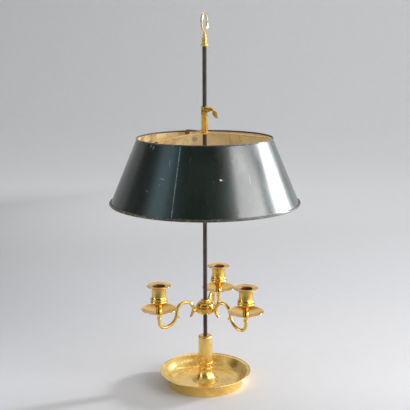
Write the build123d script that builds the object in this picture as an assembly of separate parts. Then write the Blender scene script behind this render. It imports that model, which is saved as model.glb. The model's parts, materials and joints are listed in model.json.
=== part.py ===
from build123d import *
import os
from math import atan2, cos, degrees, pi, radians, sin

# Three-candle bouillotte lamp. Millimetres, +Z up, origin on the lamp's axis at the bottom of the foot.
# The front of the lamp faces -Y. Azimuths are degrees from +X, anticlockwise seen from above.

# ---------------------------------------------------------------- fits and small common sizes
RUN = 0.06                  # clearance on each side of a sliding or turning fit
SEAT = 0.04                 # clearance on each side of a screwed, pressed or riveted round fit
EDGE = 0.4                  # broken edge on turned work
SLICE = 1.0                 # extra length of a cutting tool past the face it opens

# Depth of a curved moulding as a share of its chord.
FAINT = 0.025
SLIGHT = 0.06
SOFT = 0.085
FULL = 0.14
DEEP = 0.18

# ---------------------------------------------------------------- base
DISH_LIP_R = 85.0           # outside of the everted lip
DISH_LIP_Z = 25.5           # top of the lip
DISH_LIP_THICK = 1.8
DISH_LIP_OUT = 5.0          # how far the lip stands out from the wall
DISH_WALL = 2.4             # thickness of the cast dish
FLOOR_Z = 5.6               # upper side of the dish floor
BOSS_Z = 9.0                # raised middle that the column stands on
BOSS_TOP_R = 15.0
BOSS_BASE_R = 20.0
FOOT_R = 70.0               # outside of the foot ring
FLOOR_R = FOOT_R - 12.0     # the floor starts to rise into the wall inside the foot ring
FOOT_WIDTH = 4.0
FOOT_RISE = 4.5             # height of the foot's upright part

COLUMN_TOP_Z = 93.0
COLUMN_R = 13.1
COLUMN_CROWN = 3.3          # height of the rounded top edge
COLUMN_CROWN_IN = 2.2       # how far it comes in
COLUMN_RING_Z = 40.5        # middle of the moulded ring
COLUMN_RING_R = 14.8
COLUMN_RING = 4.4           # its height
COLUMN_NECK_R = 11.8
COLUMN_BEAD_Z = 29.5        # small bead between neck and trumpet foot
COLUMN_BEAD_R = 12.7
COLUMN_BEAD = 2.6
COLUMN_FOOT_R = 25.5        # trumpet foot on the dish floor
COLUMN_FOOT_EDGE = 0.5

# ---------------------------------------------------------------- rod, and what ties the base to it
ROD_SIDE = 6.0              # square iron rod
ROD_TURN = -20.0            # azimuth that the rod's right-hand face looks to
ROD_TOP_Z = 622.5
ROD_SEAT_DEPTH = 7.0        # square socket in the column's top
TIE_R = 2.7                 # round threaded end, below
TIE_TAIL = 0.9              # thread that shows below the nut
TOP_STUD_R = 2.4            # round threaded end, above
TOP_STUD_LENGTH = 11.0
NUT_FLATS = 10.0
NUT_HEIGHT = 3.6
WASHER_R = 9.0
WASHER_THICK = 1.2

# ---------------------------------------------------------------- finial
FINIAL_FLANGE_R = 6.2
FINIAL_FLANGE = 4.4         # heights of the turned mouldings, from the rod's top up
FINIAL_FLANGE_LIP = 1.0     # how far the flange's edges come in
FINIAL_FILLET = 1.0
FINIAL_NECK_R = 3.8
FINIAL_BEAD_R = 4.7
FINIAL_BEAD = 5.0
FINIAL_VASE_R = 5.1
FINIAL_VASE = 4.8
FINIAL_WAIST_R = 2.6
FINIAL_KNOP_R = 3.4
FINIAL_KNOP = 3.6
FINIAL_THROAT_R = 3.1
FINIAL_THROAT = 4.2
RING_OUT_R = 17.65
RING_WIRE_R = 2.25
RING_TURN = 71.6            # azimuth of the ring's plane
RING_SADDLE_R = 2.9
RING_TENON_R = 1.5
RING_TENON = 5.0

# ---------------------------------------------------------------- candle branch: hub
HUB_BOTTOM_Z = 136.0
HUB_BOTTOM_R = 11.0         # flat underside
HUB_FLANGE_Z = 145.0        # middle of the flange, where the arms enter
HUB_FLANGE_R = 20.0
HUB_RIM_IN = 1.3            # how far the flange's rounded edges come in
HUB_ROLL_Z = 150.8          # bead between flange and dome
HUB_ROLL_R = 17.3
HUB_ROLL = 3.0
HUB_DOME_R = 15.8
HUB_SHOULDER_Z = 158.0      # top of the dome
HUB_SHOULDER_R = 10.0
HUB_BEAD_R = 10.6           # bead on the dome
HUB_BEAD = 2.2
HUB_CAP_R = 7.4
HUB_CAP = 2.8
HUB_CAP_IN = 0.9
HUB_SCREW_R = 2.0
HUB_SCREW_SIDE = 180.0      # the set screw bears on the rod's face opposite to ROD_TURN
HUB_SCREW_SLOT = 0.9
HUB_SCREW_RECESS = 1.2

# ---------------------------------------------------------------- candle branch: arms
ARM_AZIMUTHS = {"left": 207.2, "right": -39.3, "back": 73.8}
ARM_REACH = 93.5            # from the lamp's axis to the candle's axis
ARM_WIRE_R = 3.0
ARM_TENON_R = 2.3
ARM_TENON_IN = 12.5         # how near the tenon comes to the lamp's axis
ARM_COLLAR_R = 3.5          # collar between hub and scroll
SCROLL_R = 16.6             # centre line of the C scroll beside the hub
SCROLL_X = 41.6             # its centre, from the lamp's axis
SCROLL_Z = 146.4
SCROLL_INNER_END = 227.0    # polar angles of the C scroll's two ends
SCROLL_OUTER_END = -42.0
SCROLL_BRANCH = 8.0         # polar angle at which the long scroll leaves the C scroll
SCROLL_TAPER = 24.0         # degrees of scroll over which the inner curl thins out
CURL_TIP_R = 1.8
SPUR_ROOT_R = 2.5           # spur that carries the C scroll on past the branch
SPUR_TIP_R = 1.3
HOOK_R = 11.0               # last bend of the long scroll, up to the pan
HOOK_BOTTOM_Z = 121.3       # lowest point of the arm's centre line
NECK_R = 4.0                # turned end of the arm under the pan
NECK_HEIGHT = 10.0
NECK_BEAD_R = 4.5
NECK_BEAD = 2.4
NECK_WAIST_R = 3.5
NECK_SEAT_R = 5.3
NECK_SEAT = 0.8
STUD_R = 2.0                # thread that holds pan and socket
STUD_LENGTH = 12.0

# ---------------------------------------------------------------- candle branch: pan, socket, nozzle
PAN_R = 32.2
PAN_RIM_Z = 159.2
PAN_FLOOR_Z = 153.4         # upper side of the pan's middle
PAN_WALL = 1.2
PAN_SEAT_R = 9.0

CUP_FOOT_R = 5.6
CUP_FOOT = 0.8
CUP_FOOT_TAPER = 1.6
CUP_NECK_R = 4.7
CUP_NECK_BEAD_R = 5.7
CUP_NECK_Z = 158.4          # top of the bead on the neck
CUP_GROOVE_R = 14.2
CUP_FLANGE_Z = 172.7
CUP_FLANGE_R = 15.7
CUP_FLANGE = 3.2
CUP_BEAD_Z = 177.2
CUP_BEAD_R = 15.3
CUP_BEAD = 4.0
CUP_WAIST_Z = 183.2
CUP_WAIST_R = 13.0
CUP_MOUTH_Z = 198.0
CUP_R = 13.4                # at the mouth

CANDLE_R = 11.0             # bore of the nozzle
NOZZLE_WALL = 1.0
NOZZLE_TUBE = 25.0          # length of the tube below the socket's mouth
NOZZLE_RIM_R = 21.7
NOZZLE_RIM_Z = 202.7
NOZZLE_LIP = 1.8            # thickness of the rim's rounded edge
NOZZLE_DISH = 0.9           # how far the rim's upper side sinks towards the hole
NOZZLE_MOUTH_R = 13.2       # where that side rounds over into the bore

# ---------------------------------------------------------------- shade
SHADE_TOP_R = 122.45        # over the rolled edges
SHADE_BOTTOM_R = 172.3
SHADE_TOP_Z = 462.7         # middle of the upper rolled edge
SHADE_BOTTOM_Z = 347.4
SHADE_SHEET = 0.7
SHADE_TOP_ROLL_R = 1.25     # outside radius of the rolled edges' section
SHADE_BOTTOM_ROLL_R = 2.0
SHADE_ROLL_SHEET = 0.5
SEAM_AZIMUTH = -112.3       # front seam; the other is diametrically opposite
SEAM_GAP = 0.05             # degrees between the two halves under the lap
SEAM_LAP = 8.0
SEAM_JOGGLE = 3.0           # stretch of the outer sheet that steps up onto the lap
SEAM_SHORT = 1.2            # how far the lap stops before the rolled edges
SEAM_ARC = 60.0             # degrees of cone from which a lap is cut, more than it needs

SLEEVE_SIDE = 9.2
SLEEVE_BOTTOM_Z = 469.5
SLEEVE_LENGTH = 50.0
SLEEVE_NOTCH_R = 2.4
BOSS_R = 6.2
BOSS_TIP_R = 3.4
BOSS_LENGTH = 6.8
BOSS_BELOW_TOP = 6.4        # screw axis below the sleeve's top

COLLAR_SIDE = 14.0
COLLAR_THICK = 3.0
STRAP_AZIMUTHS = (-134.0, -14.0, 106.0)
STRAP_WIDTH = 8.0
STRAP_THICK = 1.5
STRAP_BOW_R = 45.0          # where the strap starts to dip
STRAP_BOW_Z = 470.8
STRAP_BOW_BEND = 150.0      # radii of the strap's bends
STRAP_CREST_Z = 465.4       # strap's centre line just inside the rolled edge
STRAP_CREST_IN = 5.3
STRAP_CREST_BEND = 1.5
STRAP_KNEE = 3.6            # down the slope, where the strap has turned into its tab
STRAP_KNEE_BEND = 3.0
TAB_GAP = 0.12              # between strap tab and shade at the middle of the tab
TAB_BELOW_RIVET = 3.4
RIVET_ALONG = 6.4           # down the slope from the sheet's upper end to the rivet
RIVET_R = 1.0
RIVET_HEAD_R = 2.1
RIVET_HEAD = 1.1

SCREW_R = 2.0
SCREW_TIP_GAP = 0.08
KEY_PITCH_GAP = 1.2         # daylight between boss and key at rest
KEY_KNOB = 4.4              # length of the key's knob along the screw
KEY_KNOB_R = 2.9
KEY_PIN_R = 1.2             # end of the screw that holds the key
KEY_LEAF = 17.0
KEY_LEAF_WIDTH = 8.0
KEY_LEAF_THICK = 2.2
KEY_DROOP = 60.0            # leaf's centre line below the screw's axis
KEY_VEIN = 0.9              # groove along the leaf
KEY_VEIN_START = 0.28       # its ends, as shares of the leaf
KEY_VEIN_END = 0.86


# ---------------------------------------------------------------- outlines
def outline_wire(steps):
    """Closed chain of edges: plain points are joined by lines, ('arc', middle) bends the next line."""
    edges = []
    start = here = steps[0]
    bend = None
    for step in list(steps[1:]) + [start]:
        if step[0] == "arc":
            bend = step[1]
            continue
        if bend is not None:
            edges.append(ThreePointArc(here, bend, step))
        elif step != here:
            edges.append(Line(here, step))
        here = step
        bend = None
    return edges


def turned(*outline):
    """Solid of revolution about Z from a closed outline of (radius, z) points and curves."""
    face = make_face(outline_wire(outline))
    return revolve(Plane.XZ * face, Axis.Z)


def along(start, end, share):
    """Point on the straight line between two 2-D points."""
    return (start[0] + (end[0] - start[0]) * share, start[1] + (end[1] - start[1]) * share)


def bowed(start, end, depth):
    """An arc that ends at the second point and stands out to its left by a share of its chord."""
    middle = along(start, end, 0.5)
    rise = (-(end[1] - start[1]) * depth, (end[0] - start[0]) * depth)
    return [("arc", (middle[0] + rise[0], middle[1] + rise[1])), end]


def set_off(point, start, end, distance):
    """The 2-D point moved square to the line from start to end, towards its right."""
    run, climb = end[0] - start[0], end[1] - start[1]
    length = (run ** 2 + climb ** 2) ** 0.5
    return (point[0] + climb / length * distance, point[1] - run / length * distance)


def bead(low, high, radius):
    """A rounded moulding between two points, as far out as the radius."""
    return [low, ("arc", (radius, (low[1] + high[1]) / 2)), high]


def cap_middle(radius, base, height):
    """Middle point of the arc over a spherical cap, from its edge to its top on the axis."""
    ball = (radius ** 2 + height ** 2) / (2 * height)
    return (radius / 2, base + height - ball + (ball ** 2 - radius ** 2 / 4) ** 0.5)


# ---------------------------------------------------------------- simple shapes and places
def upright(radius, bottom, top):
    """Cylinder on the Z axis between two heights."""
    return Pos(0, 0, (bottom + top) / 2) * Cylinder(radius, top - bottom)


def rod_from(radius, length):
    """Cylinder from z = 0 to z = length."""
    return upright(radius, 0, length)


def square_bar(side, bottom, top):
    """Square bar on the Z axis between two heights, turned as the rod is."""
    return Rot(0, 0, ROD_TURN) * Pos(0, 0, (bottom + top) / 2) * Box(side, side, top - bottom)


def spun(shape, azimuth):
    return Rot(0, 0, azimuth) * shape


def radial(shape, azimuth, start, height):
    """Lay a shape that is built along +Z along a radius, its zero at the given distance and height."""
    return spun(Pos(start, 0, height) * Rot(0, 90, 0) * shape, azimuth)


def lifted(point):
    """A (radius, z) point as a 3-D point of the XZ plane."""
    return Vector(point[0], 0, point[1])


# ---------------------------------------------------------------- stand
def base_dish():
    hole = TIE_R + SEAT
    wall_r = DISH_LIP_R - DISH_LIP_OUT
    lip_low = DISH_LIP_Z - DISH_LIP_THICK
    lip_end = DISH_LIP_R - DISH_LIP_THICK / 2
    rise, under = (FLOOR_R, FLOOR_Z), (FLOOR_R, FLOOR_Z - DISH_WALL)
    wall_top = (wall_r - DISH_WALL / 2, lip_low)
    neck = (wall_r, lip_low - DISH_LIP_THICK)
    lip_top, lip_under = (lip_end, DISH_LIP_Z), (lip_end, lip_low)
    foot_in = FOOT_R - FOOT_WIDTH
    foot_root, foot_top = (foot_in, FLOOR_Z - DISH_WALL / 4), (FOOT_R, FOOT_RISE)
    flank = bowed(neck, foot_top, -SOFT)
    waist = set_off(flank[0][1], neck, foot_top, DISH_WALL)
    inset = DISH_WALL / 3
    return turned(
        (hole, BOSS_Z), (BOSS_TOP_R, BOSS_Z), (BOSS_BASE_R, FLOOR_Z), rise,
        *bowed(rise, waist, -SOFT),
        *bowed(waist, wall_top, FAINT),
        *bowed(wall_top, lip_top, -SOFT),
        ("arc", (DISH_LIP_R, DISH_LIP_Z - DISH_LIP_THICK / 2)), lip_under,
        *bowed(lip_under, neck, FULL),
        *flank,
        (FOOT_R, EDGE), (FOOT_R - EDGE, 0), (foot_in, 0), foot_root,
        *bowed(foot_root, under, FAINT),
        (BOSS_BASE_R - inset, FLOOR_Z - DISH_WALL), (BOSS_TOP_R - inset, BOSS_Z - DISH_WALL),
        (hole, BOSS_Z - DISH_WALL),
    )


def base_column():
    bore = TIE_R + SEAT
    foot = (COLUMN_FOOT_R, FLOOR_Z + COLUMN_FOOT_EDGE)
    bead_low = (COLUMN_NECK_R, COLUMN_BEAD_Z - COLUMN_BEAD / 2)
    bead_high = (COLUMN_NECK_R, COLUMN_BEAD_Z + COLUMN_BEAD / 2)
    ring_low = (COLUMN_NECK_R, COLUMN_RING_Z - COLUMN_RING / 2)
    ring_high = (COLUMN_R, COLUMN_RING_Z + COLUMN_RING / 2)
    shoulder = (COLUMN_R, COLUMN_TOP_Z - COLUMN_CROWN)
    crown = (COLUMN_R - COLUMN_CROWN_IN, COLUMN_TOP_Z)
    body = turned(
        (bore, BOSS_Z), (BOSS_TOP_R + EDGE, BOSS_Z), (BOSS_BASE_R + EDGE, FLOOR_Z), (COLUMN_FOOT_R, FLOOR_Z), foot,
        *bowed(foot, bead_low, FULL)[:1],
        *bead(bead_low, bead_high, COLUMN_BEAD_R),
        *bowed(bead_high, ring_low, SLIGHT)[:1],
        *bead(ring_low, ring_high, COLUMN_RING_R),
        shoulder, *bowed(shoulder, crown, -FULL),
        (bore, COLUMN_TOP_Z),
    )
    return body - square_bar(ROD_SIDE + 2 * SEAT, COLUMN_TOP_Z - ROD_SEAT_DEPTH, COLUMN_TOP_Z + SLICE)


def nut_bottom():
    return BOSS_Z - DISH_WALL - WASHER_THICK - NUT_HEIGHT


def stem():
    square_end = COLUMN_TOP_Z - ROD_SEAT_DEPTH
    bar = square_bar(ROD_SIDE, square_end, ROD_TOP_Z)
    bar = chamfer(bar.edges().filter_by(Axis.Z), EDGE)
    tie = upright(TIE_R, nut_bottom() - TIE_TAIL, square_end)
    return bar + tie + upright(TOP_STUD_R, ROD_TOP_Z, ROD_TOP_Z + TOP_STUD_LENGTH)


def base_washer():
    top = BOSS_Z - DISH_WALL
    return upright(WASHER_R, top - WASHER_THICK, top) - upright(TIE_R + SEAT, 0, top + SLICE)


def base_nut():
    low, top = nut_bottom(), nut_bottom() + NUT_HEIGHT
    hexagon = RegularPolygon(NUT_FLATS / 2, 6, major_radius=False)
    nut = Pos(0, 0, low) * extrude(hexagon, NUT_HEIGHT)
    crown = turned((0, low), (NUT_FLATS / 2 - EDGE, low), (NUT_FLATS, low + NUT_FLATS / 3), (NUT_FLATS, top), (0, top))
    return (nut & crown) - upright(TIE_R + SEAT, low - SLICE, top + SLICE)


def finial_top():
    mouldings = FINIAL_FLANGE + FINIAL_BEAD + FINIAL_VASE + FINIAL_KNOP + FINIAL_THROAT
    return ROD_TOP_Z + mouldings + 2 * FINIAL_FILLET


def finial_base():
    stud_hole = TOP_STUD_R + SEAT
    stud_end = ROD_TOP_Z + TOP_STUD_LENGTH + EDGE
    flange_edge = FINIAL_FLANGE_R - FINIAL_FLANGE_LIP
    flange_low, flange_high = (flange_edge, ROD_TOP_Z), (flange_edge, ROD_TOP_Z + FINIAL_FLANGE)
    bead_low = (FINIAL_NECK_R, flange_high[1] + FINIAL_FILLET)
    bead_high = (FINIAL_NECK_R, bead_low[1] + FINIAL_BEAD)
    vase_high = (FINIAL_WAIST_R, bead_high[1] + FINIAL_VASE)
    knop_low = (FINIAL_WAIST_R, vase_high[1] + FINIAL_FILLET)
    knop_high = (FINIAL_WAIST_R, knop_low[1] + FINIAL_KNOP)
    top = finial_top()
    throat = (FINIAL_THROAT_R, top)
    body = turned(
        (stud_hole, ROD_TOP_Z), *bead(flange_low, flange_high, FINIAL_FLANGE_R),
        *bead(bead_low, bead_high, FINIAL_BEAD_R),
        *bead(bead_high, vase_high, FINIAL_VASE_R)[1:],
        *bead(knop_low, knop_high, FINIAL_KNOP_R),
        *bowed(knop_high, throat, SLIGHT),
        (0, top), (0, stud_end), (stud_hole, stud_end),
    )
    return body - upright(RING_TENON_R + SEAT, top - RING_TENON - EDGE, top + SLICE)


def finial_ring():
    foot = finial_top()
    ring = Pos(0, 0, foot + RING_OUT_R) * Rot(90, 0, 0) * Torus(RING_OUT_R - RING_WIRE_R, RING_WIRE_R)
    low, high = (RING_SADDLE_R, foot), (RING_WIRE_R - EDGE, foot + RING_WIRE_R)
    saddle = turned((0, foot), low, *bowed(low, high, SOFT), (0, high[1]))
    return spun(ring, RING_TURN) + saddle + upright(RING_TENON_R, foot - RING_TENON, foot)


# ---------------------------------------------------------------- candle branch
def hub_top():
    return HUB_SHOULDER_Z + HUB_BEAD + HUB_CAP


def arms_hub():
    low, flange, top = HUB_BOTTOM_Z, HUB_FLANGE_Z, hub_top()
    band = ARM_TENON_R + 4 * SEAT + EDGE / 2
    edge_r = HUB_FLANGE_R - HUB_RIM_IN
    belly_low, belly_high = (HUB_BOTTOM_R, low), (edge_r, flange - band - HUB_RIM_IN)
    rim_low, rim_top = (HUB_FLANGE_R, flange - band), (HUB_FLANGE_R, flange + band)
    rim_high = (edge_r, flange + band + HUB_RIM_IN / 2)
    roll_low, roll_high = (HUB_DOME_R, HUB_ROLL_Z - HUB_ROLL / 2), (HUB_DOME_R, HUB_ROLL_Z + HUB_ROLL / 2)
    shoulder, bead_high = (HUB_SHOULDER_R, HUB_SHOULDER_Z), (HUB_SHOULDER_R - EDGE, HUB_SHOULDER_Z + HUB_BEAD)
    cap_low, cap_high = (HUB_CAP_R, bead_high[1] + EDGE), (HUB_CAP_R - HUB_CAP_IN, top)
    body = turned(
        (0, low), belly_low,
        *bowed(belly_low, belly_high, -SOFT),
        *bowed(belly_high, rim_low, -FULL), rim_top,
        *bowed(rim_top, rim_high, -FULL),
        *bead(roll_low, roll_high, HUB_ROLL_R),
        *bowed(roll_high, shoulder, -FULL)[:1],
        *bead(shoulder, bead_high, HUB_BEAD_R), cap_low,
        *bowed(cap_low, cap_high, -FULL), (0, top),
    )
    body -= square_bar(ROD_SIDE + 2 * RUN, low - SLICE, top + SLICE)
    for azimuth in ARM_AZIMUTHS.values():
        body -= radial(rod_from(ARM_TENON_R + SEAT, HUB_FLANGE_R), azimuth, ARM_TENON_IN - SEAT, flange)
    screw_hole = rod_from(HUB_SCREW_R + SEAT, HUB_FLANGE_R)
    return body - radial(screw_hole, ROD_TURN + HUB_SCREW_SIDE, ROD_SIDE / 4, flange)


def hub_screw():
    tip = ROD_SIDE / 2 + SCREW_TIP_GAP
    length = HUB_FLANGE_R - HUB_SCREW_RECESS - tip
    screw = rod_from(HUB_SCREW_R, length)
    screw = chamfer(screw.edges().filter_by(GeomType.CIRCLE), EDGE)
    screw -= Pos(0, 0, length) * Box(4 * HUB_SCREW_R, HUB_SCREW_SLOT, 2 * HUB_SCREW_SLOT)
    return radial(screw, ROD_TURN + HUB_SCREW_SIDE, tip, HUB_FLANGE_Z)


def scroll_point(angle):
    """Point on the C scroll's centre line at a polar angle, in the arm's own (radius, z) plane."""
    return (SCROLL_X + SCROLL_R * cos(radians(angle)), SCROLL_Z + SCROLL_R * sin(radians(angle)))


def scroll_arc(start, end):
    """Edge of the C scroll's centre line between two polar angles."""
    return Edge.make_three_point_arc(*[lifted(scroll_point(a)) for a in (start, (start + end) / 2, end)])


def wire_ring(radius, edge, share):
    """Circle standing across an edge at a share of its length."""
    return Plane(origin=edge @ share, z_dir=edge % share) * Circle(radius)


def tapered_end(root_angle, tip_angle, root_r, tip_r):
    """End of the C scroll, thinning towards a rounded tip."""
    edge = scroll_arc(root_angle, tip_angle)
    horn = sweep([wire_ring(root_r, edge, 0), wire_ring(tip_r, edge, 1)], path=edge, multisection=True)
    return horn + Pos(edge @ 1) * Sphere(tip_r)


def s_scroll():
    """Round bar that arches over from the inner curl, leaves the C scroll, dips and rises under the pan.

    The straight run leaves the C scroll on its tangent, and the bow that follows ends level at the
    arm's lowest point: its radius and the run's length are worked out from that.
    """
    leave = radians(SCROLL_BRANCH)
    start = scroll_point(SCROLL_BRANCH)
    bottom = (ARM_REACH - HOOK_R, HOOK_BOTTOM_Z)
    out, drop = bottom[0] - start[0], start[1] - bottom[1]
    slack = 1 - sin(leave)
    run = (cos(leave) * drop - slack * out) / slack
    bow_r = (cos(leave) * out - sin(leave) * drop) / slack
    first = (start[0] + run * sin(leave), start[1] - run * cos(leave))
    half_turn = (pi / 2 - leave) / 2
    first_mid = (bottom[0] - bow_r * sin(half_turn), bottom[1] + bow_r * (1 - cos(half_turn)))
    hook_mid = (bottom[0] + HOOK_R * sin(pi / 4), bottom[1] + HOOK_R * (1 - cos(pi / 4)))
    end = (ARM_REACH, HOOK_BOTTOM_Z + HOOK_R)
    arch = scroll_arc(SCROLL_INNER_END - SCROLL_TAPER, SCROLL_BRANCH)
    line = Edge.make_line(lifted(start), lifted(first))
    bow = Edge.make_three_point_arc(lifted(first), lifted(first_mid), lifted(bottom))
    hook = Edge.make_three_point_arc(lifted(bottom), lifted(hook_mid), lifted(end))
    return sweep(wire_ring(ARM_WIRE_R, arch, 0), path=Wire([arch, line, bow, hook]))


def arm_neck():
    """Turned end of the arm, with the thread that holds pan and socket."""
    low, top = HOOK_BOTTOM_Z + HOOK_R, PAN_FLOOR_Z - PAN_WALL
    bead_top = top - NECK_HEIGHT
    bead_low, bead_high = (NECK_WAIST_R, bead_top - NECK_BEAD), (NECK_WAIST_R, bead_top)
    seat_low = (NECK_SEAT_R, top - NECK_SEAT)
    neck = turned(
        (0, low), (ARM_WIRE_R, low), *bead(bead_low, bead_high, NECK_BEAD_R),
        ("arc", (NECK_R, (bead_top + seat_low[1]) / 2)), seat_low,
        (NECK_SEAT_R, top), (0, top),
    )
    return neck + upright(STUD_R, top, top + STUD_LENGTH)


def arm(azimuth):
    solid = s_scroll()
    solid += tapered_end(SCROLL_INNER_END - SCROLL_TAPER, SCROLL_INNER_END, ARM_WIRE_R, CURL_TIP_R)
    solid += tapered_end(SCROLL_BRANCH, SCROLL_OUTER_END, SPUR_ROOT_R, SPUR_TIP_R)
    leg, collar_start = SCROLL_X - SCROLL_R, HUB_FLANGE_R + SEAT
    solid += radial(rod_from(ARM_TENON_R, leg - ARM_TENON_IN), 0, ARM_TENON_IN, HUB_FLANGE_Z)
    solid += radial(rod_from(ARM_COLLAR_R, leg - collar_start), 0, collar_start, HUB_FLANGE_Z)
    return spun(solid + Pos(ARM_REACH, 0, 0) * arm_neck(), azimuth)


def at_candle(shape, azimuth):
    """Put a piece that is turned about Z on its candle axis."""
    return spun(Pos(ARM_REACH, 0, 0) * shape, azimuth)


def drip_pan():
    low, lip_r = PAN_FLOOR_Z - PAN_WALL, PAN_R - PAN_WALL / 2
    rim_in, rim_out = (lip_r, PAN_RIM_Z), (lip_r, PAN_RIM_Z - PAN_WALL)
    seat_in, seat_out = (PAN_SEAT_R, PAN_FLOOR_Z), (PAN_SEAT_R, low)
    return turned(
        (STUD_R + SEAT, PAN_FLOOR_Z), seat_in,
        *bowed(seat_in, rim_in, -FAINT)[:1],
        *bead(rim_in, rim_out, PAN_R),
        *bowed(rim_out, seat_out, FAINT),
        (STUD_R + SEAT, low),
    )


def stud_room():
    """Height of the blind hole's end above the arm's stud."""
    return PAN_FLOOR_Z - PAN_WALL + STUD_LENGTH + EDGE


def candle_socket():
    cavity = CANDLE_R + NOZZLE_WALL + RUN
    floor = CUP_MOUTH_Z - NOZZLE_TUBE - EDGE
    foot, neck_low = PAN_FLOOR_Z + CUP_FOOT, PAN_FLOOR_Z + CUP_FOOT + CUP_FOOT_TAPER
    flange_low, flange_high = CUP_FLANGE_Z - CUP_FLANGE / 2, CUP_FLANGE_Z + CUP_FLANGE / 2
    cone_low, cone_high = (CUP_NECK_R, CUP_NECK_Z), (CUP_GROOVE_R, flange_low)
    flange_edge = CUP_FLANGE_R - EDGE
    bead_low, bead_high = (CUP_GROOVE_R, CUP_BEAD_Z - CUP_BEAD / 2), (CUP_GROOVE_R, CUP_BEAD_Z + CUP_BEAD / 2)
    waist, lip = (CUP_WAIST_R, CUP_WAIST_Z), (CUP_R, CUP_MOUTH_Z)
    return turned(
        (STUD_R + SEAT, PAN_FLOOR_Z), (CUP_FOOT_R, PAN_FLOOR_Z), (CUP_FOOT_R, foot),
        *bead((CUP_NECK_R, neck_low), cone_low, CUP_NECK_BEAD_R),
        *bowed(cone_low, cone_high, SLIGHT),
        *bead((flange_edge, flange_low), (flange_edge, flange_high), CUP_FLANGE_R),
        *bead(bead_low, bead_high, CUP_BEAD_R),
        *bowed(bead_high, waist, SOFT),
        *bowed(waist, lip, FAINT),
        (cavity, CUP_MOUTH_Z), (cavity, floor), (0, floor), (0, stud_room()), (STUD_R + SEAT, stud_room()),
    )


def nozzle():
    bore, tube = CANDLE_R, CANDLE_R + NOZZLE_WALL
    seat, low = CUP_MOUTH_Z + RUN, CUP_MOUTH_Z - NOZZLE_TUBE
    seat_out, lip_r = (CUP_R + EDGE, seat), NOZZLE_RIM_R - NOZZLE_LIP / 2
    rim_low, rim_high = (lip_r, NOZZLE_RIM_Z - NOZZLE_LIP), (lip_r, NOZZLE_RIM_Z)
    mouth = (NOZZLE_MOUTH_R, NOZZLE_RIM_Z - NOZZLE_DISH)
    throat = (bore, mouth[1] + bore - NOZZLE_MOUTH_R)
    return turned(
        (bore, low), (tube, low), (tube, seat), seat_out,
        *bowed(seat_out, rim_low, -SLIGHT)[:1],
        *bead(rim_low, rim_high, NOZZLE_RIM_R),
        *bowed(rim_high, mouth, FAINT), *bowed(mouth, throat, -DEEP),
    )


# ---------------------------------------------------------------- shade
ROLL_TOP = (SHADE_TOP_R - SHADE_TOP_ROLL_R, SHADE_TOP_Z)
ROLL_BOTTOM = (SHADE_BOTTOM_R - SHADE_BOTTOM_ROLL_R, SHADE_BOTTOM_Z)
LEAN = atan2(ROLL_BOTTOM[0] - ROLL_TOP[0], ROLL_TOP[1] - ROLL_BOTTOM[1])


def sheet_end(centre, radius):
    """End of the sheet's middle line, from which the edge rolls outward."""
    inset = radius - SHADE_SHEET
    return (centre[0] - inset * cos(LEAN), centre[1] - inset * sin(LEAN))


SHEET_TOP = sheet_end(ROLL_TOP, SHADE_TOP_ROLL_R)
SHEET_BOTTOM = sheet_end(ROLL_BOTTOM, SHADE_BOTTOM_ROLL_R)
SLOPE_LENGTH = ((SHEET_BOTTOM[0] - SHEET_TOP[0]) ** 2 + (SHEET_BOTTOM[1] - SHEET_TOP[1]) ** 2) ** 0.5
SLOPE = ((SHEET_BOTTOM[0] - SHEET_TOP[0]) / SLOPE_LENGTH, (SHEET_BOTTOM[1] - SHEET_TOP[1]) / SLOPE_LENGTH)
OUTWARD = (-SLOPE[1], SLOPE[0])
GRIP = SHADE_SHEET + TAB_GAP + STRAP_THICK      # what a rivet holds together


def on_slope(distance, stand_off):
    """Point at a distance down the sheet from its upper end, set off outward by stand_off."""
    return (SHEET_TOP[0] + distance * SLOPE[0] + stand_off * OUTWARD[0],
            SHEET_TOP[1] + distance * SLOPE[1] + stand_off * OUTWARD[1])


def placed_on_slope(shape, azimuth, stand_off):
    """Put a shape that is built along +Z at a rivet's place, pointing outward from the shade."""
    tilt = degrees(atan2(OUTWARD[0], OUTWARD[1]))
    point = on_slope(RIVET_ALONG, stand_off)
    return spun(Pos(point[0], 0, point[1]) * Rot(0, tilt, 0) * shape, azimuth)


def rivet_hole(azimuth):
    """Cutting tool for the hole through strap tab and shade."""
    tool = rod_from(RIVET_R + SEAT, GRIP + 2 * SLICE)
    return placed_on_slope(tool, azimuth, SHADE_SHEET / 2 - GRIP - SLICE)


def cone_band(start, end, inner, outer, arc):
    """Part of a conical layer, revolved from azimuth 0 over an arc."""
    corners = [on_slope(start, inner), on_slope(start, outer), on_slope(end, outer), on_slope(end, inner)]
    return revolve(Plane.XZ * make_face(outline_wire(corners)), Axis.Z, arc)


def roll(centre, radius, arc):
    """Ring of round section about Z, revolved from azimuth 0 over an arc."""
    return revolve(Plane.XZ * Pos(centre[0], centre[1]) * Circle(radius), Axis.Z, arc)


def seam_strip(inner, outer, from_y, to_y):
    """Strip of a conical layer along the seam at azimuth 180, between two distances across it."""
    start, end = SHADE_TOP_ROLL_R + SEAM_SHORT, SLOPE_LENGTH - SHADE_BOTTOM_ROLL_R - SEAM_SHORT
    layer = cone_band(start, end, inner, outer, SEAM_ARC)
    middle_z, height = (SHADE_TOP_Z + SHADE_BOTTOM_Z) / 2, SHADE_TOP_Z - SHADE_BOTTOM_Z
    cutter = Pos(-SHADE_BOTTOM_R, (from_y + to_y) / 2, middle_z)
    cutter *= Box(2 * SHADE_BOTTOM_R, to_y - from_y, 2 * height)
    return spun(layer, 180 - SEAM_ARC / 2) & cutter


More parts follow.
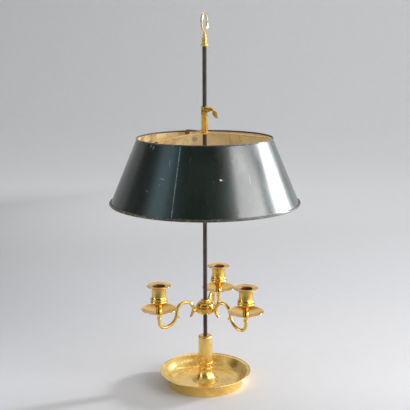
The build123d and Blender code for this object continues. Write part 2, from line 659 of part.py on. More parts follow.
def half_shell(start_azimuth):
    """One half of the shade: it ends in a lap that lies over the other half."""
    arc, half = 180 - SEAM_GAP, SHADE_SHEET / 2
    lap_in, lap_out = half + SEAT, half + SEAT + SHADE_SHEET
    shell = cone_band(0, SLOPE_LENGTH, -half, half, arc)
    shell += roll(ROLL_TOP, SHADE_TOP_ROLL_R, arc)
    shell += roll(ROLL_BOTTOM, SHADE_BOTTOM_ROLL_R, arc)
    shell -= roll(ROLL_TOP, SHADE_TOP_ROLL_R - SHADE_ROLL_SHEET, 360)
    shell -= roll(ROLL_BOTTOM, SHADE_BOTTOM_ROLL_R - SHADE_ROLL_SHEET, 360)
    shell += seam_strip(0, lap_out, 0, SEAM_JOGGLE)
    shell += seam_strip(lap_in, lap_out, -SEAM_LAP, SEAM_JOGGLE)
    shell = spun(shell, start_azimuth)
    for azimuth in STRAP_AZIMUTHS:
        shell -= rivet_hole(azimuth)
    return shell


def edge_wire(centre, radius):
    """Wire inside a rolled edge of that outside radius."""
    return roll(centre, radius - SHADE_ROLL_SHEET - SEAT, 360)


def screw_height():
    return SLEEVE_BOTTOM_Z + SLEEVE_LENGTH - BOSS_BELOW_TOP


def key_start():
    """Distance from the lamp's axis to the inner face of the key's knob."""
    return SLEEVE_SIDE / 2 + BOSS_LENGTH + KEY_PITCH_GAP


def shade_sleeve():
    top = SLEEVE_BOTTOM_Z + SLEEVE_LENGTH
    root = SLEEVE_SIDE / 4
    spread = SLEEVE_SIDE / 2 + BOSS_LENGTH - root
    boss = Pos(0, 0, spread / 2) * Cone(BOSS_R, BOSS_TIP_R, spread)
    tube = square_bar(SLEEVE_SIDE, SLEEVE_BOTTOM_Z, top) + radial(boss, ROD_TURN, root, screw_height())
    tube -= Rot(0, 0, ROD_TURN) * Pos(0, 0, top) * Rot(90, 0, 0) * Cylinder(SLEEVE_NOTCH_R, 2 * SLEEVE_SIDE)
    tube -= square_bar(ROD_SIDE + 2 * RUN, SLEEVE_BOTTOM_Z - SLICE, top + BOSS_R)
    return tube - radial(rod_from(SCREW_R + RUN, 2 * BOSS_LENGTH + SLEEVE_SIDE), ROD_TURN, 0, screw_height())


def strap_path():
    """Centre line of one strap, from the collar to the end of its tab."""
    stand_off = -(SHADE_SHEET + STRAP_THICK) / 2 - TAB_GAP
    start = (COLLAR_SIDE / 2 - EDGE, SLEEVE_BOTTOM_Z + COLLAR_THICK / 2)
    bow = (STRAP_BOW_R, STRAP_BOW_Z)
    crest = (ROLL_TOP[0] - STRAP_CREST_IN, STRAP_CREST_Z)
    knee = on_slope(STRAP_KNEE, stand_off)
    end = on_slope(RIVET_ALONG + TAB_BELOW_RIVET, stand_off)
    points = [lifted(p) for p in (start, bow, crest, knee, end)]
    return FilletPolyline(*points, radius=[STRAP_BOW_BEND, STRAP_CREST_BEND, STRAP_KNEE_BEND])


def shade_spider():
    collar = square_bar(COLLAR_SIDE, SLEEVE_BOTTOM_Z, SLEEVE_BOTTOM_Z + COLLAR_THICK)
    spider = chamfer(collar.edges().filter_by(Axis.Z), EDGE)
    path = strap_path()
    section = Plane(origin=path @ 0, x_dir=(0, 1, 0), z_dir=path % 0) * Rectangle(STRAP_WIDTH, STRAP_THICK)
    strap = sweep(section, path=path)
    for azimuth in STRAP_AZIMUTHS:
        spider += spun(strap, azimuth)
        spider -= rivet_hole(azimuth)
    return spider - square_bar(SLEEVE_SIDE, SLEEVE_BOTTOM_Z - SLICE, SLEEVE_BOTTOM_Z + COLLAR_THICK + SLICE)


def shade_rivets():
    rivet = turned(
        (0, -RIVET_HEAD), (RIVET_HEAD_R - EDGE, -RIVET_HEAD), (RIVET_HEAD_R, EDGE - RIVET_HEAD), (RIVET_HEAD_R, 0),
        (RIVET_R, 0), (RIVET_R, GRIP), (RIVET_HEAD_R, GRIP),
        ("arc", cap_middle(RIVET_HEAD_R, GRIP, RIVET_HEAD)), (0, GRIP + RIVET_HEAD),
    )
    return [placed_on_slope(rivet, azimuth, SHADE_SHEET / 2 - GRIP) for azimuth in STRAP_AZIMUTHS]


def shade_screw():
    tip = ROD_SIDE / 2 + SCREW_TIP_GAP
    shank = rod_from(SCREW_R, key_start() - SEAT - tip)
    shank = chamfer(shank.edges().filter_by(GeomType.CIRCLE), EDGE)
    pin = rod_from(KEY_PIN_R, key_start() + KEY_KNOB - EDGE - tip)
    return radial(shank + pin, ROD_TURN, tip, screw_height())


def shade_key():
    pin_hole = KEY_PIN_R + RUN
    knob_low, knob_high = (KEY_KNOB_R - EDGE, 0), (pin_hole, KEY_KNOB)
    knob = turned((pin_hole, 0), *bead(knob_low, knob_high, KEY_KNOB_R))
    droop = radians(KEY_DROOP)
    root = (KEY_KNOB_R / 2 * sin(droop), KEY_KNOB / 2 + KEY_KNOB_R / 2 * cos(droop))
    tip = (root[0] + KEY_LEAF * sin(droop), root[1] + KEY_LEAF * cos(droop))
    bow = KEY_LEAF_WIDTH / 2 / KEY_LEAF
    outline = outline_wire([root, *bowed(root, tip, bow), bowed(tip, root, bow)[0]])
    leaf = extrude(Plane.XZ * make_face(outline), KEY_LEAF_THICK / 2, both=True)
    middle = along(root, tip, (KEY_VEIN_START + KEY_VEIN_END) / 2)
    vein = Pos(middle[0], 0, middle[1]) * Rot(0, 90 - KEY_DROOP, 0)
    for side in (-1, 1):
        groove = Box(KEY_VEIN, KEY_VEIN, KEY_LEAF * (KEY_VEIN_END - KEY_VEIN_START))
        leaf -= vein * Pos(0, side * KEY_LEAF_THICK / 2, 0) * groove
    leaf -= rod_from(pin_hole, 2 * KEY_KNOB)
    return radial(knob + leaf, ROD_TURN, key_start(), screw_height())


# ---------------------------------------------------------------- all pieces
def all_parts():
    parts = {
        "base_dish": base_dish(), "base_column": base_column(), "base_washer": base_washer(),
        "base_nut": base_nut(), "stem": stem(), "finial_base": finial_base(), "finial_ring": finial_ring(),
        "arms_hub": arms_hub(), "hub_screw": hub_screw(),
        "shade_sleeve": shade_sleeve(), "shade_spider": shade_spider(), "shade_rivets": shade_rivets(),
        "shade_panel_right": half_shell(SEAM_AZIMUTH), "shade_panel_left": half_shell(SEAM_AZIMUTH + 180),
        "shade_top_wire": edge_wire(ROLL_TOP, SHADE_TOP_ROLL_R),
        "shade_bottom_wire": edge_wire(ROLL_BOTTOM, SHADE_BOTTOM_ROLL_R),
        "shade_screw": shade_screw(), "shade_key": shade_key(),
    }
    for side, azimuth in ARM_AZIMUTHS.items():
        parts["arm_" + side] = arm(azimuth)
        parts["drip_pan_" + side] = at_candle(drip_pan(), azimuth)
        parts["candle_socket_" + side] = at_candle(candle_socket(), azimuth)
        parts["nozzle_" + side] = at_candle(nozzle(), azimuth)
    return parts


os.makedirs("parts", exist_ok=True)
for name, shape in all_parts().items():
    solids = shape if isinstance(shape, list) else [shape]
    export_step(Compound(children=[s for part in solids for s in part.solids()]), f"parts/{name}.step")
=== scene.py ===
import json
from math import cos, pi, radians, sin, tan

import bpy
from mathutils import Matrix, Quaternion, Vector

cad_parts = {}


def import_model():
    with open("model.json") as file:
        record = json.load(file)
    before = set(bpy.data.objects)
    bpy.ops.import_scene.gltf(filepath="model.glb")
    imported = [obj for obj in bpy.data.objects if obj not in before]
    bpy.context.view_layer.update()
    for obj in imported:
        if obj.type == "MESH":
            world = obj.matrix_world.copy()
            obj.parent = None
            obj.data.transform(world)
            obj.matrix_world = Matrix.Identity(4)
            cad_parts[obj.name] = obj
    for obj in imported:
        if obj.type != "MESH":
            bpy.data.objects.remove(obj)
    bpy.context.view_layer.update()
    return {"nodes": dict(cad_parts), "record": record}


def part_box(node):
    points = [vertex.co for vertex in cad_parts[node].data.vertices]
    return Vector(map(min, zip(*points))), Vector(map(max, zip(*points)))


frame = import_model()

# ---------------------------------------------------------------- camera
IMAGE_SIDE = 410                # pixels
FOCAL_PIXELS = 823.33
SENSOR = 36.0                   # mm
CAMERA_PLACE = (0.00014, -1.46192, 0.63026)
CAMERA_PITCH = 11.21            # degrees below the horizon
CAMERA_ROLL = -0.18
SIGHT = 60                      # metres


def make_camera():
    data = bpy.data.cameras.new("camera")
    data.sensor_width = SENSOR
    data.lens = SENSOR * FOCAL_PIXELS / IMAGE_SIDE
    data.clip_end = SIGHT
    camera = bpy.data.objects.new("camera", data)
    bpy.context.scene.collection.objects.link(camera)
    tilt = Matrix.Rotation(radians(90 - CAMERA_PITCH), 4, "X") @ Matrix.Rotation(radians(CAMERA_ROLL), 4, "Z")
    camera.matrix_world = Matrix.Translation(CAMERA_PLACE) @ tilt
    bpy.context.scene.camera = camera


make_camera()
bpy.context.scene.view_settings.view_transform = "Standard"


# ---------------------------------------------------------------- shader writing
def linear(red, green, blue):
    """An sRGB colour in 0..255 as a linear RGBA value."""
    def channel(value):
        value /= 255
        return value / 12.92 if value <= 0.04045 else ((value + 0.055) / 1.055) ** 2.4
    return (channel(red), channel(green), channel(blue), 1.0)


class Graph:
    """A shader node tree written as nested calls. A number, tuple or socket may feed any input."""

    def __init__(self, tree):
        self.tree = tree
        tree.nodes.clear()

    def put(self, value, socket):
        if isinstance(value, bpy.types.NodeSocket):
            self.tree.links.new(value, socket)
        elif value is not None:
            socket.default_value = value

    def node(self, kind, inputs=None, **settings):
        made = self.tree.nodes.new(kind)
        for name, value in settings.items():
            setattr(made, name, value)
        for key, value in (inputs or {}).items():
            self.put(value, made.inputs[key])
        return made

    def math(self, operation, *values):
        return self.node("ShaderNodeMath", dict(enumerate(values)), operation=operation).outputs[0]

    def times(self, first, second):
        return self.math("MULTIPLY", first, second)

    def plus(self, first, second):
        return self.math("ADD", first, second)

    def most(self, first, second):
        return self.math("MAXIMUM", first, second)

    def least(self, first, second):
        return self.math("MINIMUM", first, second)

    def vector(self, operation, *values):
        """Vector result of an operation."""
        return self.node("ShaderNodeVectorMath", dict(enumerate(values)), operation=operation).outputs[0]

    def measure(self, operation, *values):
        """Number that an operation on vectors gives."""
        return self.node("ShaderNodeVectorMath", dict(enumerate(values)), operation=operation).outputs[1]

    def dot(self, first, second):
        return self.measure("DOT_PRODUCT", first, second)

    def flat(self, x, y):
        return self.node("ShaderNodeCombineXYZ", {0: x, 1: y}).outputs[0]

    def split(self, vector):
        return self.node("ShaderNodeSeparateXYZ", {0: vector}).outputs

    def mix(self, low, high, share):
        """Colour between low and high."""
        return self.node("ShaderNodeMix", {0: share, 6: low, 7: high}, data_type="RGBA").outputs[2]

    def spread(self, value, low, high, to_low=0.0, to_high=1.0):
        """Value mapped smoothly from low..high to to_low..to_high, held at both ends."""
        inputs = {0: value, 1: low, 2: high, 3: to_low, 4: to_high}
        return self.node("ShaderNodeMapRange", inputs, interpolation_type="SMOOTHSTEP").outputs[0]

    def noise(self, place, scale, detail, roughness, stretch=None):
        if stretch:
            place = self.vector("MULTIPLY", place, stretch)
        inputs = {"Vector": place, "Scale": scale, "Detail": detail, "Roughness": roughness}
        return self.node("ShaderNodeTexNoise", inputs).outputs[0]

    def patches(self, place, scale, detail, roughness, low, high, stretch=None):
        """Share that is 0 where a noise is under low and 1 where it is over high."""
        return self.spread(self.noise(place, scale, detail, roughness, stretch), low, high)

    def bump(self, height, distance, strength, normal=None):
        inputs = {"Height": height, "Distance": distance, "Strength": strength, "Normal": normal}
        return self.node("ShaderNodeBump", inputs).outputs[0]

    def place(self):
        """Where the surface point is in the lamp at rest."""
        return self.node("ShaderNodeTexCoord").outputs["Object"]

    def facing(self, direction):
        """How far the surface looks along a direction: 1 straight along it, -1 away from it."""
        return self.dot(self.node("ShaderNodeNewGeometry").outputs["True Normal"], direction)

    def surface(self, **inputs):
        """Principled surface on the material's output."""
        names = {"color": "Base Color", "metallic": "Metallic", "roughness": "Roughness", "normal": "Normal",
                 "coat": "Coat Weight", "coat_roughness": "Coat Roughness", "specular": "Specular IOR Level"}
        made = self.node("ShaderNodeBsdfPrincipled", {names[key]: value for key, value in inputs.items()})
        self.node("ShaderNodeOutputMaterial", {"Surface": made.outputs[0]})


def material(name, write):
    made = bpy.data.materials.new(name)
    made.use_nodes = True
    write(Graph(made.node_tree))
    return made


# ---------------------------------------------------------------- gilding
GILT = linear(249, 209, 110)
GILT_DEEP = linear(232, 182, 76)
GILT_PALE = linear(252, 228, 162)
GILT_PIT = linear(120, 76, 24)
GILT_TAN_TOPS = linear(210, 160, 94)
GILT_BRIGHTENED = linear(255, 219, 126)
GILT_TARNISHED = linear(186, 130, 48)
GILT_RING_HIGHLIGHT = linear(232, 222, 196)
BORE_LIGHT = linear(150, 102, 58)
BORE_DARK = linear(104, 64, 36)

# Bands of height, in metres, in which one look gives way to the next.
ABOVE_COLUMN = (0.098, 0.106)
PAN_UNDER = (0.1505, 0.1525)
PAN_OVER = (0.158, 0.1595)
RIM_UNDER = (0.1925, 0.1945)
RIM_OVER = (0.205, 0.21)
RING_HIGHLIGHT_UNDER = (0.645, 0.652)

BORE_EDGE = (0.0113, 0.0121)    # radius at which a candle hole's wall begins and ends
BORE_FLOOR = 0.1725
NOZZLE_BOXES = [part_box(f"nozzle_{side}") for side in ("left", "right", "back")]
CANDLES = [[(low + high) / 2 for low, high in zip(*box)] for box in NOZZLE_BOXES]


def candle_bores(g, place, z):
    """Share that is 1 inside the candle holes."""
    x, y, _ = g.split(place)
    away = 1.0
    for middle in CANDLES:
        away = g.least(g.measure("DISTANCE", g.flat(x, y), (middle[0], middle[1], 0)), away)
    return g.times(g.spread(away, *BORE_EDGE, 1.0, 0.0), g.math("GREATER_THAN", z, BORE_FLOOR))


def gilt(g):
    """Old gilding on bronze: polished, cloudy where it is rubbed, with fine pits and brown candle holes; painted
    light makes the dish and column paler, the pan and rim tops tan, and the finial ring almost white.
    """
    place = g.place()
    z = g.split(place)[2]
    cloud = g.patches(place, 24, 5, 0.6, 0.4, 0.68)
    rubbed = g.patches(place, 90, 4, 0.65, 0.5, 0.72)
    pits = g.patches(place, 520, 2, 0.5, 0.65, 0.74)
    tarnish = g.patches(place, 38, 4, 0.6, 0.46, 0.66)
    dish_and_column = g.spread(z, *ABOVE_COLUMN, 1.0, 0.0)      # dish and column are worn duller than the branch, and painted paler gold as painted light
    pan_tops = g.times(g.spread(z, *PAN_UNDER), g.spread(z, *PAN_OVER, 0.45, 0.0))
    rim_tops = g.times(g.spread(z, *RIM_UNDER), g.spread(z, *RIM_OVER, 0.4, 0.0))
    bores = candle_bores(g, place, z)

    color = g.mix(GILT, GILT_DEEP, g.times(cloud, 0.4))
    color = g.mix(color, GILT_PALE, g.times(rubbed, 0.3))
    color = g.mix(color, GILT_PIT, g.times(pits, 0.3))
    # painted shade: the tops of the drip pans and nozzle rims are painted tan
    color = g.mix(color, GILT_TAN_TOPS, g.most(pan_tops, rim_tops))
    # painted light: the dish and column are painted paler gold
    color = g.mix(color, GILT_BRIGHTENED, g.times(dish_and_column, 0.6))
    color = g.mix(color, GILT_TARNISHED, g.times(tarnish, g.times(dish_and_column, 0.3)))
    # painted highlight: the finial ring is painted pale, almost white
    color = g.mix(color, GILT_RING_HIGHLIGHT, g.spread(z, *RING_HIGHLIGHT_UNDER, 0.0, 0.8))
    color = g.mix(color, g.mix(BORE_LIGHT, BORE_DARK, cloud), bores)

    roughness = g.plus(g.spread(cloud, 0, 1, 0.16, 0.24), g.times(pits, 0.15))
    roughness = g.plus(roughness, g.times(dish_and_column, 0.05))
    roughness = g.plus(roughness, g.times(bores, 0.2))
    metallic = g.times(g.spread(bores, 0, 1, 1.0, 0.3), g.spread(dish_and_column, 0, 1, 1.0, 0.84))
    wave = g.noise(place, 60, 2, 0.5)
    normal = g.bump(wave, 0.0005, 0.15, g.bump(pits, -0.0001, 0.5))
    g.surface(color=color, metallic=metallic, roughness=roughness, normal=normal,
              coat=g.times(dish_and_column, 0.5), coat_roughness=0.36)


# ---------------------------------------------------------------- bare metals
BRASS = linear(255, 208, 98)
BRASS_STAINED = linear(164, 100, 34)
BRASS_GRIMY = linear(112, 68, 24)
BRASS_SHADED = linear(84, 58, 34)
SLEEVE_TOP = (0.499, 0.506)     # height at which the sleeve gets grimy
SHADED_BACK_STRAP = (0.012, 0.035)     # distance behind the rod at which the straps turn brown, painted shade on the rear strap

IRON = linear(92, 82, 78)
IRON_BROWN = linear(70, 58, 52)
IRON_SHADED = linear(36, 31, 29)
SHADED_FACE_DIRECTION = (0.94, -0.342, 0)  # direction of the rod's face that is painted near black as painted shade

STEEL = linear(118, 112, 106)
RUST = linear(88, 60, 42)

RIVET_PAINT = linear(34, 42, 36)
RIVET_BARE_GLINT = linear(206, 212, 206)


def brass(g):
    """Brass with brown tarnish in patches, and the rear strap painted brown as painted shade."""
    place = g.place()
    _, y, z = g.split(place)
    stain = g.patches(place, 210, 5, 0.65, 0.45, 0.62)
    grime = g.times(g.patches(place, 330, 3, 0.6, 0.47, 0.56), g.spread(z, *SLEEVE_TOP, 0.0, 0.75))
    color = g.mix(BRASS, BRASS_STAINED, g.times(stain, 0.6))
    color = g.mix(color, BRASS_GRIMY, grime)
    # painted shade: the rear strap is painted brown
    color = g.mix(color, BRASS_SHADED, g.spread(y, *SHADED_BACK_STRAP, 0.0, 0.85))
    roughness = g.spread(stain, 0, 1, 0.24, 0.42)
    normal = g.bump(g.noise(place, 400, 3, 0.6), 0.00004, 0.3)
    g.surface(color=color, metallic=1.0, roughness=roughness, normal=normal)


def iron(g):
    """Dark forged iron, browner in patches, with one face painted near black as painted shade."""
    place = g.place()
    patch = g.patches(place, 120, 5, 0.6, 0.35, 0.7, (1, 1, 0.35))
    color = g.mix(IRON, IRON_BROWN, patch)
    # painted shade: one face of the rod is painted near black
    color = g.mix(color, IRON_SHADED, g.spread(g.facing(SHADED_FACE_DIRECTION), 0.3, 0.9))
    roughness = g.spread(patch, 0, 1, 0.5, 0.65)
    normal = g.bump(g.noise(place, 420, 4, 0.6, (1, 1, 0.5)), 0.00015, 0.7)
    g.surface(color=color, metallic=0.0, roughness=roughness, specular=0.3, normal=normal)


def steel(g):
    """Grey steel with rust in patches."""
    rust = g.patches(g.place(), 240, 4, 0.6, 0.5, 0.7)
    g.surface(color=g.mix(STEEL, RUST, rust), metallic=0.8, roughness=g.spread(rust, 0, 1, 0.4, 0.75))


def rivet_head(g):
    """Brass rivet under dark paint that is worn off its crown; the worn spots are painted whitish, partly as a
    painted highlight.
    """
    worn = g.patches(g.place(), 700, 3, 0.6, 0.5, 0.58)
    # painted highlight as well as wear: the worn spots are whitish
    color = g.mix(RIVET_PAINT, RIVET_BARE_GLINT, worn)
    g.surface(color=color, metallic=g.times(worn, 0.3), roughness=g.spread(worn, 0, 1, 0.25, 0.45))


# ---------------------------------------------------------------- shade
# Radius and height of the sheet at its upper and lower rolled edge, and the heights where the edges begin.
SHEET_TOP = (0.1210, 0.4627)
SHEET_BOTTOM = (0.1703, 0.3474)
SHEET_FALL = SHEET_TOP[1] - SHEET_BOTTOM[1]
SHEET_WIDENING = SHEET_BOTTOM[0] - SHEET_TOP[0]
ROLL_TOP = (0.4606, 0.4614)
ROLL_BOTTOM = (0.3498, 0.3506)

GREEN = linear(6, 19, 10)
GREEN_PALE = linear(17, 36, 25)
STREAK = linear(62, 74, 68)
SPECK = linear(96, 104, 96)
SEAM_HIGHLIGHT = linear(172, 188, 184)
ROLL = linear(38, 37, 28)
ROLL_RUBBED = linear(168, 148, 108)

CREAM = linear(246, 220, 162)
CREAM_DEEP = linear(222, 188, 126)
CREAM_STAIN = linear(128, 96, 56)
BROWN_STREAK_SHADE = linear(150, 108, 62)
ROLL_INSIDE = linear(70, 60, 42)
STREAK_SHADE_SIDE = (-0.1, 0.02)    # x over which the brown streaks inside, partly painted shade, fade out
RUBBED_SIDE = (-0.12, -0.02)    # x over which the rubbing of the rolled edges fades out

PALE = linear(255, 255, 248)
BARE = linear(196, 206, 200)
DENT_HIGHLIGHT = linear(110, 134, 144)
DULL = linear(104, 114, 104)
PATCH = linear(112, 116, 116)
DRIP = linear(120, 92, 54)

SEAM_AZIMUTHS = (-109.0, 71.0)
SEAM_HEIGHT = 0.405             # where the seams' middle is taken
SEAM_EDGE = (0.0004, 0.0011)    # distance from a seam at which its pale line, a painted highlight broken up by wear, begins to fade, and ends
SHAKE = 0.0012                  # how ragged the outlines of marks are

# Wear, and painted highlights on dents, on the outer face: azimuth and, in metres, height, half width and half
# height; then tilt, colour, strength.
MARKS = (
    (-79.5, 0.4094, 0.0021, 0.0015, 8, PALE, 1.0),
    (-77.6, 0.4088, 0.0010, 0.0005, 0, BARE, 0.5),
    (-137.4, 0.4585, 0.0007, 0.0042, 6, BARE, 0.7),
    (-134.2, 0.4560, 0.0009, 0.0030, -8, BARE, 0.6),
    (-115.9, 0.4340, 0.0004, 0.0090, -7, BARE, 0.35),
    # painted highlights on two dents
    (-119.3, 0.4090, 0.0050, 0.0012, 12, DENT_HIGHLIGHT, 0.8),
    (-120.6, 0.3996, 0.0028, 0.0010, 4, DENT_HIGHLIGHT, 0.6),
    (-129.1, 0.3880, 0.0022, 0.0019, 0, DULL, 0.8),
    (-100.5, 0.4410, 0.0004, 0.0060, 3, DULL, 0.6),
    (-84.2, 0.4070, 0.0014, 0.0012, 0, DULL, 0.4),
    (-62.0, 0.4420, 0.0006, 0.0050, 4, DULL, 0.6),
    (-66.5, 0.4460, 0.0005, 0.0040, -3, DULL, 0.5),
    (-59.0, 0.4080, 0.0007, 0.0080, 2, DULL, 0.5),
    (-35.0, 0.3700, 0.0030, 0.0008, 10, DULL, 0.5),
    (20.0, 0.4020, 0.0016, 0.0022, 0, BARE, 0.6),
    (63.0, 0.4300, 0.0005, 0.0100, 5, DULL, 0.5),
    (118.0, 0.3790, 0.0040, 0.0007, -14, DULL, 0.6),
    (155.0, 0.4250, 0.0013, 0.0016, 0, BARE, 0.7),
)


def on_shade(azimuth, height):
    """Point of the shade's face, with the directions round it and down it there."""
    radius = SHEET_TOP[0] + (SHEET_TOP[1] - height) / SHEET_FALL * SHEET_WIDENING
    angle = radians(azimuth)
    outward = Vector((cos(angle), sin(angle), 0))
    along = Vector((-sin(angle), cos(angle), 0))
    down = (outward * SHEET_WIDENING - Vector((0, 0, SHEET_FALL))).normalized()
    return outward * radius + Vector((0, 0, height)), along, down


def mark(g, place, azimuth, height, wide, tall, tilt=0.0, soft=0.5):
    """Share of a small oval mark on the shade, given by half its width and height and turned by tilt degrees."""
    centre, along, down = on_shade(azimuth, height)
    turn = radians(tilt)
    first = (along * cos(turn) + down * sin(turn)) / wide
    second = (down * cos(turn) - along * sin(turn)) / tall
    offset = g.vector("SUBTRACT", place, centre)
    away = g.measure("LENGTH", g.flat(g.dot(offset, first), g.dot(offset, second)))
    return g.spread(away, 1.0 - soft, 1.0 + soft, 1.0, 0.0)


def seam_highlight(g, spot, place, worn, azimuth):
    """Share of the pale line along a seam, a painted highlight broken up by wear."""
    middle, along, _ = on_shade(azimuth, SEAM_HEIGHT)
    away = g.math("ABSOLUTE", g.dot(place, along))
    this_side = g.math("GREATER_THAN", g.dot(spot, Vector((middle.x, middle.y, 0))), 0.0)
    line = g.times(g.spread(away, *SEAM_EDGE, 1.0, 0.0), this_side)
    return g.times(line, g.spread(worn, 0.38, 0.6, 0.35, 1.0))


def paint(g, spot, place, worn, x, rim):
    """Colour outside: clouds of green, faint streaks down the slope, specks, seam lines painted as highlights,
    marks with painted highlights on dents, and edges.
    """
    color = g.mix(GREEN, GREEN_PALE, g.patches(spot, 9, 5, 0.6, 0.35, 0.65))
    color = g.mix(color, STREAK, g.times(g.patches(spot, 240, 3, 0.6, 0.58, 0.74, (1, 1, 0.06)), 0.35))
    color = g.mix(color, SPECK, g.times(g.patches(spot, 620, 2, 0.5, 0.7, 0.76), 0.35))
    # painted highlight: a pale line along each seam
    for azimuth in SEAM_AZIMUTHS:
        color = g.mix(color, SEAM_HIGHLIGHT, g.times(seam_highlight(g, spot, place, worn, azimuth), 0.75))
    for azimuth, height, wide, tall, tilt, tone, strength in MARKS:
        share = mark(g, place, azimuth, height, wide, tall, tilt)
        color = g.mix(color, tone, g.times(share, strength))
    rubbed = g.times(g.spread(worn, 0.5, 0.66), g.spread(x, *RUBBED_SIDE, 1.0, 0.35))
    return g.mix(color, g.mix(ROLL, ROLL_RUBBED, rubbed), rim)


def lining(g, spot, place, x, rim):
    """Colour inside: cream with stains, a round grey patch, a drip and brown streaks on the left that are partly
    painted shade.
    """
    color = g.mix(CREAM, CREAM_DEEP, g.patches(spot, 14, 5, 0.62, 0.35, 0.7))
    color = g.mix(color, CREAM_STAIN, g.times(g.patches(spot, 70, 5, 0.7, 0.56, 0.72), 0.4))
    color = g.mix(color, PATCH, g.times(mark(g, place, 98.8, 0.4458, 0.0052, 0.0056, 0, 0.35), 0.6))
    color = g.mix(color, DRIP, g.times(mark(g, place, 67.7, 0.405, 0.0007, 0.06, 0, 0.4), 0.7))
    # brown streaks, strongest on the left: partly stains, partly painted shade on the lit wall
    streak_shade = g.patches(spot, 42, 5, 0.65, 0.42, 0.62, (1, 1, 0.35))
    color = g.mix(color, BROWN_STREAK_SHADE, g.times(streak_shade, g.spread(x, *STREAK_SHADE_SIDE, 0.95, 0.0)))
    return g.mix(color, ROLL_INSIDE, rim)


def tole(g):
    """Painted sheet: glossy dark green outside with wear and scratches and painted highlights on seams and dents,
    stained cream inside with painted shade on the left.
    """
    spot = g.place()
    jitter = g.node("ShaderNodeTexNoise", {"Vector": spot, "Scale": 700.0, "Detail": 2.0}).outputs[1]
    shift = g.vector("MULTIPLY", g.vector("SUBTRACT", jitter, (0.5, 0.5, 0.5)), (SHAKE, SHAKE, SHAKE))
    place = g.vector("ADD", spot, shift)
    x, y, z = g.split(spot)
    outside = g.math("GREATER_THAN", g.facing(g.vector("NORMALIZE", g.flat(x, y))), 0.0)
    rim = g.most(g.spread(z, *ROLL_TOP), g.spread(z, *ROLL_BOTTOM, 1.0, 0.0))
    worn = g.noise(spot, 150, 4, 0.65)
    color = g.mix(lining(g, spot, place, x, rim), paint(g, spot, place, worn, x, rim), outside)

    smear = g.noise(spot, 30, 4, 0.6, (1, 1, 0.3))
    gloss = g.plus(g.spread(smear, 0.3, 0.7, 0.25, 0.36), g.times(rim, 0.12))
    roughness = g.plus(gloss, g.spread(outside, 0, 1, 0.3, 0.0))
    grain = g.bump(g.noise(spot, 420, 2, 0.5), 0.00003, 0.4)
    normal = g.bump(g.noise(spot, 13, 3, 0.5), 0.0016, 0.25, grain)
    g.surface(color=color, metallic=0.0, roughness=roughness, specular=0.9, normal=normal,
              coat=g.times(outside, 0.7), coat_roughness=0.22)


# ---------------------------------------------------------------- dressing
LOOKS = {
    "gilt_bronze": material("gilt_bronze", gilt),
    "brass": material("brass", brass),
    "dark_iron": material("dark_iron", iron),
    "steel": material("steel", steel),
    "green_paint": material("green_paint", tole),
}
OWN_LOOKS = {"shade_rivets": material("rivet_head", rivet_head)}


def dress_nodes():
    """Give each CAD node the look of its material slot."""
    slots = {part["node"]: part["material_slot"] for part in frame["record"]["subparts"]}
    for name, piece in frame["nodes"].items():
        for slot in piece.material_slots:
            slot.material = OWN_LOOKS.get(name) or LOOKS[slots[name]]


dress_nodes()

# ---------------------------------------------------------------- studio
MIDDLE = (0, 0, 0.35)           # what most lights aim at
LOW_MIDDLE = (0, 0, 0.2)
HEART = Vector((0, 0, 0.4))     # point of the lamp's axis that the lights stand around
WHITE = (1, 1, 1)
TEAL = (0.4, 0.85, 1.0)

KEY_DIRECTION = (7.40, 2.92, 1.96)
KEY_STRENGTH = 3.2
KEY_WIDTH = 6                   # degrees
KEY_COLOR = (0.93, 0.965, 1.0)


def toward(direction, distance):
    """Point at that distance along a direction from the lamp's heart."""
    return HEART + Vector(direction).normalized() * distance


# Name, place, aim, width, height, brightness of the face with white as 1, colour, roll in degrees.
PANELS = (
    ("front_light", toward((0.803, -0.434, 0.413), 2.2), MIDDLE, 1.36, 0.56, 7.2, WHITE, -20),
    ("left_light", toward((-0.75, -0.45, 0.45), 2.4), MIDDLE, 1.1, 1.2, 0.6, TEAL, 0),
    ("right_panel", (0.72, -0.40, 0.27), LOW_MIDDLE, 1.4, 0.5, 1.4, WHITE, 0),
    ("left_panel", (-0.88, -0.32, 0.27), LOW_MIDDLE, 0.22, 0.5, 2.4, WHITE, 0),
    ("back_light", (0, 2.3, 1.75), MIDDLE, 2.6, 1.4, 0.35, WHITE, 0),
    ("wall_light", (1.8, 1.6, 3.2), (1.2, 3.8, 0.5), 4.0, 0.8, 2.4, WHITE, 0),
)


def hang(name, data, color):
    """Light object with that data, in the scene."""
    data.color = color
    light = bpy.data.objects.new(name, data)
    bpy.context.scene.collection.objects.link(light)
    return light


def key_light():
    """Far lamp to the right and a little behind that casts the shadow."""
    data = bpy.data.lights.new("key_light", "SUN")
    data.energy = KEY_STRENGTH
    data.angle = radians(KEY_WIDTH)
    light = hang("key_light", data, KEY_COLOR)
    light.rotation_euler = Vector(KEY_DIRECTION).to_track_quat("Z", "Y").to_euler()


def panel_light(name, place, aim, width, height, brightness, color, roll):
    """Rectangular soft light that the camera doesn't see."""
    data = bpy.data.lights.new(name, "AREA")
    data.shape = "RECTANGLE"
    data.size, data.size_y = width, height
    data.energy = brightness * width * height * pi
    light = hang(name, data, color)
    light.location = place
    aimed = (Vector(aim) - Vector(place)).to_track_quat("-Z", "Y")
    light.rotation_euler = (aimed @ Quaternion((0, 0, 1), radians(roll))).to_euler()
    light.visible_camera = False


# Dark parts of the studio, in degrees: azimuth to the right of straight behind the camera, height, core, edge.
DARK_PARTS = ((-29, 32, 17, 30), (4, 32, 17, 30), (-108, 14, 24, 38))
WORLD_COLOR = (0.98, 0.99, 1.0, 1)
SEEN_LEVEL = 0.55               # brightness that the camera sees where the paper ends


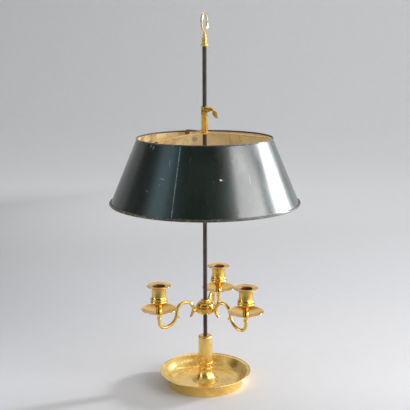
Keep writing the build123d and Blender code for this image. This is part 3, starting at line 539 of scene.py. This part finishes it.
def world():
    """Studio around the set: soft light overhead and at the sides, dark behind the camera and far left."""
    made = bpy.data.worlds.new("studio")
    made.use_nodes = True
    g = Graph(made.node_tree)
    direction = g.node("ShaderNodeTexCoord").outputs["Generated"]
    _, y, z = g.split(direction)
    level = g.times(g.spread(y, -0.9, 0.1, 0.38, 0.46), g.spread(z, 0.5, 0.95, 1.0, 1.5))
    for azimuth, height, core, edge in DARK_PARTS:
        middle = Vector((sin(radians(azimuth)), -cos(radians(azimuth)), tan(radians(height)))).normalized()
        near = g.dot(direction, middle)
        level = g.least(level, g.spread(near, cos(radians(edge)), cos(radians(core)), 0.6, 0.06))
    horizon = g.times(g.spread(z, 0.06, 0.2, 0.55, 0.0), g.spread(y, -0.8, -0.6, 1.0, 0.0))
    level = g.most(level, horizon)
    seen = g.node("ShaderNodeLightPath").outputs["Is Camera Ray"]
    level = g.plus(g.times(level, g.math("SUBTRACT", 1.0, seen)), g.times(seen, SEEN_LEVEL))
    shade = g.node("ShaderNodeBackground", {"Color": WORLD_COLOR, "Strength": level})
    g.node("ShaderNodeOutputWorld", {"Surface": shade.outputs[0]})
    bpy.context.scene.world = made


# ---------------------------------------------------------------- paper
PAPER_HALF = 9.0                # half of its width, metres
PAPER_FRONT = -9.0
PAPER_BEND = 2.6                # where it starts to curve up
PAPER_RADIUS = 1.6
PAPER_TOP = 6.0
PAPER_STEPS = 24

PAPER_SHADED = linear(120, 119, 120)
PAPER_FLOOR = linear(222, 221, 223)
PAPER_WALL_LIT = linear(246, 246, 247)


def paper_look(g):
    """Pale paper with painted shade, greyer to the left and out towards the camera, and painted paler up the wall
    behind.
    """
    place = g.place()
    x, y, _ = g.split(place)
    # painted shade: greyer to the left and towards the camera
    left = g.times(g.spread(x, -1.5, -0.15, 0.45, 1.0), g.spread(x, -3.6, -1.4, 0.45, 1.0))
    left = g.most(left, g.times(g.spread(y, 0.8, 2.2), g.spread(x, -3.6, -1.4)))
    share = g.times(g.spread(y, -0.75, 0.05), left)
    share = g.most(share, g.spread(g.measure("LENGTH", g.flat(x, y)), 2.0, 3.8))
    grain = g.times(g.patches(place, 40, 3, 0.5, 0.3, 0.7), 0.02)
    # painted light: the wall behind is painted paler than the floor
    pale = g.mix(PAPER_FLOOR, PAPER_WALL_LIT, g.spread(y, 0.3, 1.6))
    color = g.mix(PAPER_SHADED, pale, g.math("SUBTRACT", share, grain))
    g.surface(color=color, roughness=0.9, specular=0.1)


def sweep():
    """Seamless paper: floor in front, curving up behind the lamp."""
    profile = [(PAPER_FRONT, 0.0)]
    for index in range(PAPER_STEPS + 1):
        angle = pi / 2 * index / PAPER_STEPS
        profile.append((PAPER_BEND + PAPER_RADIUS * sin(angle), PAPER_RADIUS * (1 - cos(angle))))
    profile.append((PAPER_BEND + PAPER_RADIUS, PAPER_TOP))
    verts = [(x, y, z) for y, z in profile for x in (-PAPER_HALF, PAPER_HALF)]
    faces = [(2 * i, 2 * i + 1, 2 * i + 3, 2 * i + 2) for i in range(len(profile) - 1)]
    mesh = bpy.data.meshes.new("paper")
    mesh.from_pydata(verts, [], faces)
    for face in mesh.polygons:
        face.use_smooth = True
    paper = bpy.data.objects.new("paper", mesh)
    bpy.context.scene.collection.objects.link(paper)
    mesh.materials.append(material("paper", paper_look))


key_light()
for panel in PANELS:
    panel_light(*panel)
world()
sweep()
